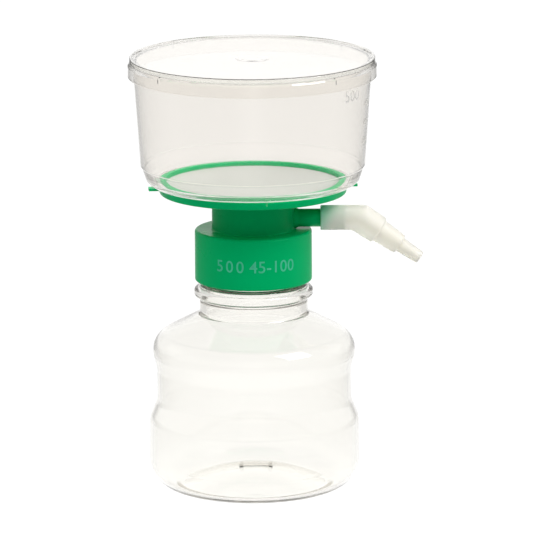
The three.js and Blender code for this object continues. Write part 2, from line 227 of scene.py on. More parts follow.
def roundedBlock(name, size, centre, bevel, segments=3):
    deselectAll()
    bpy.ops.mesh.primitive_cube_add(size=1, location=[value * mm for value in centre])
    block = bpy.context.object
    block.name = name
    block.scale = [value * mm for value in size]
    bakePlace(block)
    editMode(block, "EDGE")
    bpy.ops.mesh.select_all(action="SELECT")
    roundEdges(bevel, segments)
    bpy.ops.object.mode_set(mode="OBJECT")
    return block


def threadRidge(name, thread, foot):
    # A trapezoid drawn in the X-Z plane and swept along a right-handed screw.
    inner, outer = thread["root"], thread["crest"]
    start = foot + thread["start"]
    widths = ((inner, -thread["rootWidth"]), (outer, -thread["crestWidth"]))
    corners = [(radius, start + width / 2) for radius, width in widths]
    corners += [(radius, start - width / 2) for radius, width in widths[::-1]]
    ridge = drawOutline(name, corners)
    closeOutline(corners)
    bpy.ops.object.mode_set(mode="OBJECT")
    steps = int(thread["turns"] * thread["steps"])
    applyModifier(
        ridge,
        "SCREW",
        axis="Z",
        angle=math.radians(360) * thread["turns"],
        screw_offset=thread["pitch"] * mm * thread["turns"],
        steps=steps,
        render_steps=steps,
        iterations=1,
        use_merge_vertices=False,
    )
    editMode(ridge, "EDGE")
    bpy.ops.mesh.select_all(action="DESELECT")
    bpy.ops.mesh.select_non_manifold(use_boundary=True, use_wire=False)
    bpy.ops.mesh.edge_face_add()
    tidyMesh(ridge)
    return ridge


# Printed numbers: a text made a mesh, cut into narrow strips and wrapped round a wall


def wrappedPrint(name, mark, thickness, weight=0.0):
    deselectAll()
    bpy.ops.object.text_add(location=(0, 0, 0))
    text = bpy.context.object
    text.data.body = mark["body"]
    text.data.size = mark["size"] * mm
    text.data.align_x = "CENTER"
    text.data.align_y = "CENTER"
    text.data.space_character = mark.get("spacing", 1.0)
    text.data.extrude = thickness / 2 * mm
    text.data.offset = weight * mm
    text.data.resolution_u = 4
    bpy.ops.object.convert(target="MESH")
    text = bpy.context.object
    text.name = name
    wrapRound(text, mark["turn"], mark["height"], mark["radius"])
    return text


def wrapRound(flat, turn, height, radius):
    half = max(abs(vertex.co.x) for vertex in flat.data.vertices)
    strip = 0.8 * mm
    editMode(flat)
    for step in range(1, int(2 * half / strip) + 1):
        bpy.ops.mesh.select_all(action="SELECT")
        bpy.ops.mesh.bisect(plane_co=(step * strip - half, 0, 0), plane_no=(1, 0, 0))
    bpy.ops.mesh.select_all(action="SELECT")
    bpy.ops.mesh.remove_doubles(threshold=0.1 * weldDistance)
    bpy.ops.object.mode_set(mode="OBJECT")
    turnPiece(flat, math.radians(90), "X")
    turnPiece(flat, math.radians(180))  # the circle's own turn brings it back
    deselectAll()
    bpy.ops.curve.primitive_bezier_circle_add(radius=radius * mm)
    circle = bpy.context.object
    circle.data.resolution_u = 64
    applyModifier(flat, "CURVE", object=circle, deform_axis="POS_X")
    bpy.data.objects.remove(circle)
    flat.location.z = height * mm
    flat.rotation_euler.z = math.radians(turn + 90)
    bakePlace(flat)


# Materials


def nodeIn(tree, kind, spot=(0, 0), sockets=None, **values):
    node = tree.nodes.new(kind)
    node.location = spot
    for name, value in values.items():
        setattr(node, name, value)
    for name, value in (sockets or {}).items():
        node.inputs[name].default_value = value
    return node


def rampIn(tree, spot, ends, values=(0, 1)):
    limits = {"From Min": ends[0], "From Max": ends[1], "To Min": values[0], "To Max": values[1]}
    return nodeIn(tree, "ShaderNodeMapRange", spot, limits, interpolation_type="SMOOTHSTEP")


def mixIn(tree, spot, first=0, second=0):
    return nodeIn(tree, "ShaderNodeMix", spot, {"A": first, "B": second}, data_type="FLOAT")


def dotIn(tree, spot, direction):
    return nodeIn(tree, "ShaderNodeVectorMath", spot, {1: direction}, operation="DOT_PRODUCT")


def opaque(colour):
    return (*colour, 1)


def makeSurfaceGroup():
    # Fine moulded grain and slow waviness, with a patchy mask for wear and handling.
    group = bpy.data.node_groups.new("mouldedSurface", "ShaderNodeTree")
    number = "NodeSocketFloat"
    for name, start in (("Grain Size", 900.0), ("Wave Size", 60.0), ("Wave Share", 0.5)):
        socket = group.interface.new_socket(name=name, in_out="INPUT", socket_type=number)
        socket.default_value = start
    for name in ("Height", "Mask"):
        group.interface.new_socket(name=name, in_out="OUTPUT", socket_type=number)
    inside = nodeIn(group, "NodeGroupInput", (-900, 0))
    outside = nodeIn(group, "NodeGroupOutput", (500, 0))
    coords = nodeIn(group, "ShaderNodeTexCoord", (-900, 260))
    grain = nodeIn(group, "ShaderNodeTexNoise", (-600, 200), {"Detail": 3})
    wave = nodeIn(group, "ShaderNodeTexNoise", (-600, -60), {"Detail": 1.5})
    patch = nodeIn(group, "ShaderNodeTexNoise", (-600, -320), {"Detail": 4})
    coarser = nodeIn(group, "ShaderNodeMath", (-800, -320), {1: 0.45}, operation="MULTIPLY")
    blendHeights = nodeIn(group, "ShaderNodeMix", (-250, 100), data_type="FLOAT")
    contrast = {"From Min": 0.35, "From Max": 0.65}
    spread = nodeIn(group, "ShaderNodeMapRange", (-250, -300), contrast)
    link = group.links.new
    for texture in (grain, wave, patch):
        link(coords.outputs["Object"], texture.inputs["Vector"])
    link(inside.outputs["Grain Size"], grain.inputs["Scale"])
    link(inside.outputs["Wave Size"], wave.inputs["Scale"])
    link(inside.outputs["Wave Size"], coarser.inputs[0])
    link(coarser.outputs[0], patch.inputs["Scale"])
    link(inside.outputs["Wave Share"], blendHeights.inputs["Factor"])
    link(grain.outputs["Fac"], blendHeights.inputs["A"])
    link(wave.outputs["Fac"], blendHeights.inputs["B"])
    link(patch.outputs["Fac"], spread.inputs["Value"])
    link(blendHeights.outputs["Result"], outside.inputs["Height"])
    link(spread.outputs["Result"], outside.inputs["Mask"])
    return group


mouldedSurface = makeSurfaceGroup()


def plasticMaterial(name, look):
    material = bpy.data.materials.new(name)
    material.use_nodes = True
    tree = material.node_tree
    shader = tree.nodes["Principled BSDF"]
    shader.inputs["Base Color"].default_value = opaque(look["colour"])
    shader.inputs["IOR"].default_value = look.get("ior", 1.5)
    for socket, key in (
        ("Transmission Weight", "transmission"),
        ("Subsurface Weight", "subsurface"),
        ("Sheen Weight", "sheen"),
        ("Coat Weight", "coat"),
        ("Specular IOR Level", "specular"),
    ):
        if key in look:
            shader.inputs[socket].default_value = look[key]
    if "specularTint" in look:
        shader.inputs["Specular Tint"].default_value = opaque(look["specularTint"])
    if "subsurface" in look:
        shader.inputs["Subsurface Radius"].default_value = look["scatter"]
        shader.inputs["Subsurface Scale"].default_value = look["scatterDepth"] * mm
    sizes = {
        "Grain Size": look["grainSize"],
        "Wave Size": look["waveSize"],
        "Wave Share": look["waveShare"],
    }
    surface = nodeIn(tree, "ShaderNodeGroup", (-700, -100), sizes, node_tree=mouldedSurface)
    relief = {"Strength": look["bump"], "Distance": look["bumpDepth"] * mm}
    bump = nodeIn(tree, "ShaderNodeBump", (-300, -300), relief)
    least, most = look["roughness"]
    rough = nodeIn(tree, "ShaderNodeMapRange", (-450, -60), {"To Min": least, "To Max": most})
    link = tree.links.new
    link(surface.outputs["Height"], bump.inputs["Height"])
    link(bump.outputs["Normal"], shader.inputs["Normal"])
    link(surface.outputs["Mask"], rough.inputs["Value"])
    link(rough.outputs["Result"], shader.inputs["Roughness"])
    if "secondColour" in look:
        tones = {"A": opaque(look["colour"]), "B": opaque(look["secondColour"])}
        tint = nodeIn(tree, "ShaderNodeMix", (-450, 200), tones, data_type="RGBA")
        link(surface.outputs["Mask"], tint.inputs["Factor"])
        link(tint.outputs["Result"], shader.inputs["Base Color"])
    if "paintedArmGlow" in look:
        # Painted glow: the green of the arm inside, as seen through the translucent wall, is
        # painted into the base colour by position along the arm and fades past the arm's end.
        paintedGlow = look["paintedArmGlow"]
        coords = nodeIn(tree, "ShaderNodeTexCoord", (-1100, 400))
        along = dotIn(tree, (-900, 400), paintedGlow["axis"])
        fade = rampIn(tree, (-700, 400), [end * mm for end in paintedGlow["ends"]])
        tones = {"A": opaque(paintedGlow["colour"])}
        glow = nodeIn(tree, "ShaderNodeMix", (-250, 300), tones, data_type="RGBA")
        link(coords.outputs["Object"], along.inputs[0])
        link(along.outputs["Value"], fade.inputs["Value"])
        link(fade.outputs["Result"], glow.inputs["Factor"])
        link(tint.outputs["Result"], glow.inputs["B"])
        link(glow.outputs["Result"], shader.inputs["Base Color"])
    if "absorb" in look:
        tone, density = look["absorb"]
        depth = {"Color": opaque(tone), "Density": density}
        volume = nodeIn(tree, "ShaderNodeVolumeAbsorption", (0, -200), depth)
        link(volume.outputs["Volume"], tree.nodes["Material Output"].inputs["Volume"])
    if "shadowTint" in look:
        # Light passes the clear walls, so what stands inside them is lit.
        path = nodeIn(tree, "ShaderNodeLightPath", (0, 400))
        passed = {"Color": opaque(look["shadowTint"])}
        clear = nodeIn(tree, "ShaderNodeBsdfTransparent", (0, 100), passed)
        mix = nodeIn(tree, "ShaderNodeMixShader", (300, 200))
        link(path.outputs["Is Shadow Ray"], mix.inputs["Fac"])
        link(shader.outputs["BSDF"], mix.inputs[1])
        link(clear.outputs["BSDF"], mix.inputs[2])
        link(mix.outputs["Shader"], tree.nodes["Material Output"].inputs["Surface"])
    return material


clearWall = {
    "ior": 1.57,
    "transmission": 1.0,
    "roughness": (0.015, 0.05),
    "grainSize": 700,
    "waveSize": 55,
    "waveShare": 0.9,
    "bump": 0.05,
    "bumpDepth": 0.3,
}
printedInk = {
    "roughness": (0.5, 0.65),
    "grainSize": 2200,
    "waveSize": 300,
    "waveShare": 0.5,
    "bump": 0.1,
    "bumpDepth": 0.05,
}
looks = {
    "clearBottle": {
        **clearWall,
        "colour": (0.998, 0.994, 0.975),
        "absorb": ((0.72, 0.68, 0.60), 36.0),
        "shadowTint": (0.99, 0.99, 0.985),
    },
    "clearStyrene": {
        **clearWall,
        "colour": (0.952, 0.934, 0.907),
        "absorb": ((0.76, 0.75, 0.66), 5.0),
        "shadowTint": (0.985, 0.985, 0.98),
    },
    "greenPlastic": {
        "colour": (0.0, 0.405, 0.125),
        "secondColour": (0.0, 0.42, 0.135),
        "ior": 1.5,
        "specular": 0.15,
        "specularTint": (0.05, 1.0, 0.5),
        "subsurface": 0.12,
        "scatter": (0.1, 1.0, 0.5),
        "scatterDepth": 1.2,
        "roughness": (0.26, 0.34),
        "grainSize": 1500,
        "waveSize": 70,
        "waveShare": 0.25,
        "bump": 0.12,
        "bumpDepth": 0.06,
    },
    "naturalPlastic": {
        "colour": (0.89, 0.87, 0.80),
        "secondColour": (0.91, 0.89, 0.83),
        # painted glow of the green arm seen through the wall, painted into the base colour along
        # the arm
        "paintedArmGlow": {
            "colour": (0.25, 0.74, 0.52),
            "axis": (0.7071, -0.7071, -0.45),
            "ends": (-30.5, -18.5),
        },
        "ior": 1.5,
        "transmission": 0.45,
        "subsurface": 0.5,
        "scatter": (1.0, 0.95, 0.85),
        "scatterDepth": 3.0,
        "roughness": (0.42, 0.52),
        "grainSize": 1300,
        "waveSize": 90,
        "waveShare": 0.4,
        "bump": 0.15,
        "bumpDepth": 0.08,
        "shadowTint": (0.6, 0.6, 0.58),
    },
    "membraneWeb": {
        "colour": (0.52, 0.54, 0.515),
        "secondColour": (0.545, 0.56, 0.535),
        "roughness": (0.85, 0.95),
        "grainSize": 2600,
        "waveSize": 45,
        "waveShare": 0.3,
        "bump": 0.3,
        "bumpDepth": 0.1,
    },
    "cottonFibre": {
        "colour": (0.86, 0.85, 0.81),
        "secondColour": (0.93, 0.92, 0.90),
        "sheen": 0.4,
        "roughness": (0.9, 1.0),
        "grainSize": 1600,
        "waveSize": 400,
        "waveShare": 0.5,
        "bump": 0.8,
        "bumpDepth": 0.3,
    },
    "softSeal": {
        "colour": (0.72, 0.72, 0.69),
        "secondColour": (0.76, 0.76, 0.73),
        "roughness": (0.5, 0.65),
        "grainSize": 1200,
        "waveSize": 120,
        "waveShare": 0.5,
        "bump": 0.2,
        "bumpDepth": 0.1,
    },
    "mintInk": {
        **printedInk,
        "colour": (0.05, 0.52, 0.30),
        "secondColour": (0.035, 0.44, 0.235),
    },
    "greyInk": {
        **printedInk,
        "colour": (0.62, 0.61, 0.58),
        "secondColour": (0.70, 0.69, 0.66),
    },
}
materials = {name: plasticMaterial(name, look) for name, look in looks.items()}
print("materials made:", len(materials))


def dress(piece, material, body, replaced=None):
    piece.data.materials.clear()
    piece.data.materials.append(materials[material])
    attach(piece, body)
    if replaced:
        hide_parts(replaced)


# Receiver bottle

bottle = {
    "side": [
        [0, 7.3],
        [14, 7.3, 60],
        [33.9, 0, 6],
        [50.3, 0, 13.8],
        [49.7, 34, 9],
        [46.2, 42.5, 9],
        [46.2, 57.5, 9],
        [48, 65, 9],
        [48, 72.9, 9],
        [25.7, 84.5, 1.5],
        [25.7, 91.8, 1.6],
        [28.2, 93.2, 1.5],
        [28.2, 96.4, 1.5],
        [25, 97.8, 1.2],
        [25, 120.5, 0.6],
    ],
    "inside": [
        [22.3, 120.5, 0.5],
        [22.3, 99.2, 2.0],
        [25.4, 96.3, 1.2],
        [25.4, 93.4, 1.2],
        [22.6, 90.4, 2.0],
        [22.6, 84.2, 3.0],
        [46.1, 71.75, 7.1],
        [46.1, 65.22, 7.1],
        [44.3, 57.72, 10.9],
        [44.3, 42.12, 10.9],
        [47.81, 33.61, 7.1],
        [48.37, 1.9, 11.9],
        [35.2, 1.9, 14],
        [15, 9.2, 60],
        [0, 9.2],
    ],
    "steps": 160,
    "lugs": [  # size and centre of the low bars on the push-up
        ((13.0, 2.0, 1.8), (0.6, 0, 9.4)),
        ((1.8, 5.5, 2.6), (-6.4, 0, 9.5)),
        ((1.8, 5.5, 2.6), (7.6, 0, 9.5)),
    ],
    "lugRound": 0.35,
    "thread": {
        "root": 24.6,
        "crest": 26.0,
        "rootWidth": 2.2,
        "crestWidth": 0.9,
        "start": 103.0,
        "pitch": 4.0,
        "turns": 3.25,
        "steps": 96,
    },
}


def makeBottle():
    outline = fromFoot("receiver_bottle", bottle["side"] + bottle["inside"])
    piece = spinOutline("bottleShell", outline, bottle["steps"], ring=False)
    ridge = threadRidge("bottleThread", bottle["thread"], footOf("receiver_bottle"))
    combine(piece, ridge, "UNION")
    for size, centre in bottle["lugs"]:
        lug = roundedBlock("baseLug", size, centre, bottle["lugRound"])
        turnPiece(lug, armTurn)
        combine(piece, lug, "UNION")
    finishShading(piece)
    dress(piece, "clearBottle", "bottle", "receiver_bottle")


makeBottle()
print("bottle made")

# Collar gasket

gasket = {
    "ring": [
        [20.5, 0, 0.4],
        [26.1, 0, 0.4],
        [26.1, 1.6, 0.4],
        [20.5, 1.6, 0.4],
    ],
    "steps": 96,
}


def makeGasket():
    outline = fromFoot("collar_gasket", gasket["ring"])
    piece = spinOutline("collarSeal", outline, gasket["steps"])
    finishShading(piece)
    dress(piece, "softSeal", "seal", "collar_gasket")


makeGasket()

# Filter base: collar, stem, plate with its ribs and drain spout, side arm and ears

base = {
    "shell": [
        [3.7, 18.4, 0.3],
        [5, 18.4, 0.3],
        [5, 41.4, 0.8],
        [17.8, 41.4, 0.8],
        [17.8, 22.4, 0.3],
        [26.4, 22.4, 0.5],
        [26.4, 0, 0.4],
        [27.8, 0, 1.0],
        [27.8, 24.7, 1.4],
        [19.6, 24.7, 0.8],
        [19.6, 41.4, 1.2],
        [44.2, 42.6, 0.5],
        [45, 45.7, 0.3],
        [45, 48.5, 0.3],
        [42.5, 48.5, 0.3],
        [42.5, 44.4, 0.4],
        [3.7, 43.2, 0.8],
    ],
    "steps": 144,
    "ribCount": 24,
    "ribWidth": 1.2,
    "ribBottom": 42.7,
    "ribTop": 46.0,
    "ribOuter": 41.0,
    "ribInner": (7.4, 17.6),
    "ribRound": 0.3,
    "armHeight": 29.7,
    "armSteps": 64,
    "arm": [  # radius, and distance from the unit's axis
        [0, 18.7],
        [5.6, 18.7],
        [5.3, 19.4, 0.5],
        [4.3, 21.6, 2.2],
        [4.3, 43.2, 0.4],
        [0, 43.2],
    ],
    "armPassage": [[0, 16.8], [2.8, 16.8], [2.8, 45], [0, 45]],
    "passageSteps": 48,
    "earReach": 49.6,
    "earInner": 41.7,
    "earWidth": 5.0,
    "earBottom": 44.3,
    "earTop": 45.5,
    "earEdge": 0.01,
    "earRound": (2.35, 8),  # reach and segments at the outer corners
    "earTurn": 5,
    "thread": {
        "root": 26.8,
        "crest": 25.45,
        "rootWidth": 2.2,
        "crestWidth": 0.9,
        "start": 4.7,
        "pitch": 4.0,
        "turns": 3.0,
        "steps": 96,
    },
    "print": [
        {"body": "500", "size": 8.0, "turn": -114.0, "spacing": 1.3},
        {"body": "45-100", "size": 8.0, "turn": -70.5, "spacing": 1.02},
    ],
    "printWeight": 0.06,
    "printDepth": 0.06,
    "printHeight": 11.3,
    "printRadius": 27.82,
}
baseFoot = footOf("filter_base")
armHeight = baseFoot + base["armHeight"]


def layOnArm(piece, start=0):
    # Lays a piece that was spun about +Z along the side arm, before the arm is turned.
    turnPiece(piece, math.radians(90), "Y")
    piece.location = (start * mm, 0, armHeight * mm)
    bakePlace(piece)


def makeRibs():
    ribs = []
    tall = base["ribTop"] - base["ribBottom"]
    middle = baseFoot + base["ribBottom"] + tall / 2
    for index in range(base["ribCount"]):
        inner = base["ribInner"][index % 2]
        size = (base["ribOuter"] - inner, base["ribWidth"], tall)
        centre = ((base["ribOuter"] + inner) / 2, 0, middle)
        rib = roundedBlock("supportRib", size, centre, base["ribRound"], 2)
        turnPiece(rib, 2 * math.pi * index / base["ribCount"])
        ribs.append(rib)
    return joinPieces(ribs, "supportRibs")


def makeEar(turn):
    inner, reach = base["earInner"], base["earReach"]
    bottom, top = base["earBottom"], base["earTop"]
    size = (reach - inner, base["earWidth"], top - bottom)
    centre = ((reach + inner) / 2, 0, baseFoot + (top + bottom) / 2)
    ear = roundedBlock("plateEar", size, centre, base["earEdge"], 1)
    editMode(ear, "EDGE")
    mesh = bmesh.from_edit_mesh(ear.data)
    bpy.ops.mesh.select_all(action="DESELECT")
    for edge in mesh.edges:
        upright = abs((edge.verts[0].co - edge.verts[1].co).normalized().z) > 0.9
        outer = min(vertex.co.x for vertex in edge.verts) > (reach - 0.1) * mm
        edge.select_set(upright and outer)
    bmesh.update_edit_mesh(ear.data)
    roundEdges(*base["earRound"])
    bpy.ops.object.mode_set(mode="OBJECT")
    turnPiece(ear, math.radians(turn))
    return ear


def makeBase():
    piece = spinOutline("filterBase", fromFoot("filter_base", base["shell"]), base["steps"])
    additions = [makeRibs(), makeEar(base["earTurn"]), makeEar(base["earTurn"] + 180)]
    arm = spinOutline("sideArm", base["arm"], base["armSteps"], ring=False)
    layOnArm(arm)
    additions += [arm, threadRidge("collarThread", base["thread"], baseFoot)]
    combine(piece, joinPieces(additions, "baseAdditions"), "UNION")
    passage = spinOutline("armPassage", base["armPassage"], base["passageSteps"], ring=False)
    layOnArm(passage)
    combine(piece, passage, "DIFFERENCE")
    turnPiece(piece, armTurn)
    finishShading(piece)
    dress(piece, "greenPlastic", "filter_head", "filter_base")


makeBase()
print("filter base made")


def makeBasePrint():
    wall = {"height": baseFoot + base["printHeight"], "radius": base["printRadius"]}
    marks = [
        wrappedPrint("collarNumber", {**mark, **wall}, base["printDepth"], base["printWeight"])
        for mark in base["print"]
    ]
    piece = joinPieces(marks, "collarNumbers")
    turnPiece(piece, armTurn)
    dress(piece, "mintInk", "filter_head")


makeBasePrint()

# Cotton plug in the side arm

plug = {
    "outline": [[0, 0], [2.35, 0, 1.1], [2.35, 9, 1.1], [0, 9]],
    "steps": 48,
    "start": 27.2,
    "voxel": 0.2,
    "lump": 0.35,
    "lumpSize": 0.9,
    "lumpMiddle": 0.75,
}


def makePlug():
    piece = spinOutline("cottonPlug", plug["outline"], plug["steps"], ring=False)
    applyModifier(piece, "REMESH", mode="VOXEL", voxel_size=plug["voxel"] * mm)
    cloud = bpy.data.textures.new("cottonLumps", "CLOUDS")
    cloud.noise_scale = plug["lumpSize"] * mm
    lumps = {"texture": cloud, "strength": plug["lump"] * mm, "mid_level": plug["lumpMiddle"]}
    applyModifier(piece, "DISPLACE", **lumps)
    layOnArm(piece, plug["start"])
    turnPiece(piece, armTurn)
    makeActive(piece)
    bpy.ops.object.shade_smooth()
    dress(piece, "cottonFibre", "filter_head", "port_plug")


makePlug()

# Membrane

membrane = {
    "outline": [[0, 0], [42.2, 0, 0.12], [42.2, 0.3, 0.12], [0, 0.3]],
    "steps": 144,
}


def makeMembrane():
    outline = fromFoot("membrane", membrane["outline"])
    piece = spinOutline("membraneDisc", outline, membrane["steps"], ring=False)
    finishShading(piece)
    dress(piece, "membraneWeb", "filter_head", "membrane")


makeMembrane()
print("membrane, plug and seal made")

# Funnel cup

cup = {
    "wall": [
        [45.25, 1, 0.3],
        [47.4, 1, 1.5],
        [50.6, 3, 3.4],
        [52.6, 9.3, 0.5],
        [53.3, 10.4, 0.5],
        [56.6, 59.4, 0.5],
        [55, 59.4, 0.5],
        [51.7, 10.4, 0.6],
        [51, 9.3, 0.6],
        [48.9, 4, 2.2],
        [45.25, 2.8, 0.3],
    ],
    "steps": 180,
    "tabTurn": -81.8,
    "tabSize": (0.9, 0.9, 2.6),
    "tabRadius": 45.9,
    "tabHeight": 0.4,
    "tabRound": 0.25,
    "print": [
        {"body": "500", "size": 8.2, "turn": -33, "height": 48.5, "radius": 55.93},
        {"body": "400", "size": 4.6, "turn": -13, "height": 41.5, "radius": 55.48},
        {"body": "300", "size": 4.6, "turn": -13, "height": 32.5, "radius": 54.88},
        {"body": "200", "size": 4.6, "turn": -13, "height": 23.5, "radius": 54.28},
    ],
    "printDepth": 0.05,
}
cupFoot = footOf("funnel_cup")


def makeCup():
    piece = spinOutline("cupWall", fromFoot("funnel_cup", cup["wall"]), cup["steps"])
    centre = (cup["tabRadius"], 0, cupFoot + cup["tabHeight"])
    tab = roundedBlock("cupTab", cup["tabSize"], centre, cup["tabRound"], 2)
    turnPiece(tab, math.radians(cup["tabTurn"]))
    combine(piece, tab, "UNION")
    turnPiece(piece, armTurn)
    finishShading(piece)
    dress(piece, "clearStyrene", "filter_head", "funnel_cup")


makeCup()


def makeCupPrint():
    marks = [
        wrappedPrint("cupNumber", {**mark, "height": cupFoot + mark["height"]}, cup["printDepth"])
        for mark in cup["print"]
    ]
    piece = joinPieces(marks, "cupNumbers")
    turnPiece(piece, armTurn)
    dress(piece, "greyInk", "filter_head")


makeCupPrint()
print("cup made")

# Lid

lid = {
    "cap": [
        [0, 6.9],
        [56.9, 6.9, 0.4],
        [56.9, 0, 0.2],
        [58.9, 0, 0.4],
        [58.9, 5.3, 0.8],
        [58.1, 6.9],
        [58.1, 9.1, 0.5],
        [57, 9.1, 0.4],
        [55, 8.2, 1.5],
        [8, 8.2, 2],
        [6.2, 8.52, 2],
        [0, 8.52],
    ],
    "steps": 180,
    "turn": 41.5,
    "cutRadius": 60,  # clear of the skirt
    "groove": [[57.5, 6.3], [60, 6.3], [60, 6.9], [57.5, 6.9]],
    "grooveTurns": (-90, 90),
    "grooveSweep": 90,
    "grooveSteps": 45,
    "notchCount": 4,
    "notchFloor": 58.55,
    "notchWidth": 0.7,
    "notchHeights": (3.7, 6.9),
    "notchRound": 0.12,
}


def makeLid():
    piece = spinOutline("lidCap", fromFoot("lid", lid["cap"]), lid["steps"], ring=False)
    outline = fromFoot("lid", lid["groove"])
    cuts = []
    for turn in lid["grooveTurns"]:
        groove = spinOutline("lidGroove", outline, lid["grooveSteps"], sweep=lid["grooveSweep"])
        turnPiece(groove, math.radians(lid["turn"] + turn))
        cuts.append(groove)
    combine(piece, joinPieces(cuts, "lidGrooves"), "DIFFERENCE")
    inner, outer = lid["notchFloor"], lid["cutRadius"]
    bottom, top = lid["notchHeights"]
    size = (outer - inner, lid["notchWidth"], top - bottom)
    centre = ((inner + outer) / 2, 0, footOf("lid") + (bottom + top) / 2)
    notches = []
    for index in range(lid["notchCount"]):
        notch = roundedBlock("lidNotch", size, centre, lid["notchRound"], 2)
        turnPiece(notch, math.radians(lid["turn"] + 360 / lid["notchCount"] * index))
        notches.append(notch)
    combine(piece, joinPieces(notches, "lidNotches"), "DIFFERENCE")
    turnPiece(piece, armTurn)
    finishShading(piece)
    dress(piece, "clearStyrene", "cover", "lid")


makeLid()
print("lid made")

# Hose elbow: rings bridged from the socket's mouth over the bend to the hose end and back inside

elbow = {
    "bend": (50.3, armHeight),
    "angle": 34.5,
    "socketRings": [(31.9, 5.92), (43.2, 5.92)],
    "knuckle": (6.912, 6.41, 31.08),  # tall, wide, lean from upright
    "hoseRings": [
        (11.1, 6.75),
        (11.1, 5.55),
        (23.1, 4.95),
        (23.1, 3.65),
        (34.8, 3.05),
        (34.8, 1.9),
    ],
    "bore": 1.9,
    "socketBore": 4.6,
    "socketFloor": 43.7,
    "sides": 64,
    "mouthRound": (0.5, 3),  # reach and segments
    "knuckleRound": (1.6, 5),
    "stepRound": (0.6, 4),
    "rimRound": (0.35, 3),
    "endRound": (0.25, 2),
}


def addRing(centre, lean, tall, wide):
    # lean is the ring's turn about Y from facing along +X
    middle = Vector((centre[0] * mm, 0, centre[1] * mm))
    bpy.ops.mesh.primitive_circle_add(
        vertices=elbow["sides"],
        radius=wide * mm,
        location=middle,
        rotation=(0, math.radians(90 + lean), 0),
    )
    if tall == wide:
        return
    up = Vector((math.sin(math.radians(lean)), 0, math.cos(math.radians(lean))))
    mesh = bmesh.from_edit_mesh(bpy.context.edit_object.data)
    for vertex in mesh.verts:
        if vertex.select:
            vertex.co += up * (vertex.co - middle).dot(up) * (tall / wide - 1)
    bmesh.update_edit_mesh(bpy.context.edit_object.data)


def pickRings(sections):
    def onRing(co):
        for centre, lean, tall, wide in sections:
            offset = co - Vector((centre[0] * mm, 0, centre[1] * mm))
            turn = math.radians(lean)
            along = offset.dot(Vector((math.cos(turn), 0, -math.sin(turn))))
            up = offset.dot(Vector((math.sin(turn), 0, math.cos(turn))))
            reach = math.hypot(up / (tall * mm), offset.y / (wide * mm))
            if abs(along) < weldDistance and abs(reach - 1) < 1e-3:
                return True
        return False

    pickVertices(onRing)


def bevelRings(sections, reach, segments):
    pickRings(sections)
    bpy.ops.mesh.select_mode(type="EDGE")
    roundEdges(reach, segments)
    bpy.ops.mesh.select_mode(type="VERT")


def makeElbow():
    bendX, bendZ = elbow["bend"]
    angle = math.radians(elbow["angle"])

    def onHose(distance, radius):
        centre = (bendX + distance * math.cos(angle), bendZ - distance * math.sin(angle))
        return (centre, elbow["angle"], radius, radius)

    def onSocket(x, radius):
        return ((x, bendZ), 0, radius, radius)

    tall, wide, lean = elbow["knuckle"]
    knuckle = (elbow["bend"], lean, tall, wide)
    outer = [onSocket(*ring) for ring in elbow["socketRings"]] + [knuckle]
    outer += [onHose(*ring) for ring in elbow["hoseRings"]]
    inner = [
        (elbow["bend"], elbow["angle"] / 2, elbow["bore"], elbow["bore"]),
        onSocket(elbow["socketFloor"], elbow["bore"]),
        onSocket(elbow["socketFloor"], elbow["socketBore"]),
        onSocket(elbow["socketRings"][0][0], elbow["socketBore"]),
    ]
    rings = outer + inner
    deselectAll()
    addRing(*rings[0])
    piece = bpy.context.object
    piece.name = "hoseElbow"
    bakePlace(piece)
    editMode(piece)
    for ring in rings[1:]:
        addRing(*ring)
    for here, ahead in zip(rings, rings[1:] + rings[:1]):
        pickRings([here, ahead])
        bpy.ops.mesh.select_mode(type="EDGE")
        bpy.ops.mesh.bridge_edge_loops()
        bpy.ops.mesh.select_mode(type="VERT")
    hose = outer[len(elbow["socketRings"]) + 1 :]
    bevelRings([knuckle], *elbow["knuckleRound"])
    bevelRings([hose[0], hose[2], hose[4]], *elbow["stepRound"])
    bevelRings([hose[1], hose[3]], *elbow["rimRound"])
    bevelRings([rings[0]], *elbow["mouthRound"])
    bevelRings([hose[5]], *elbow["endRound"])
    tidyMesh(piece)
    turnPiece(piece, armTurn)
    finishShading(piece)
    dress(piece, "naturalPlastic", "elbow", "hose_elbow")


makeElbow()
print("elbow made")

# Floor, light and camera

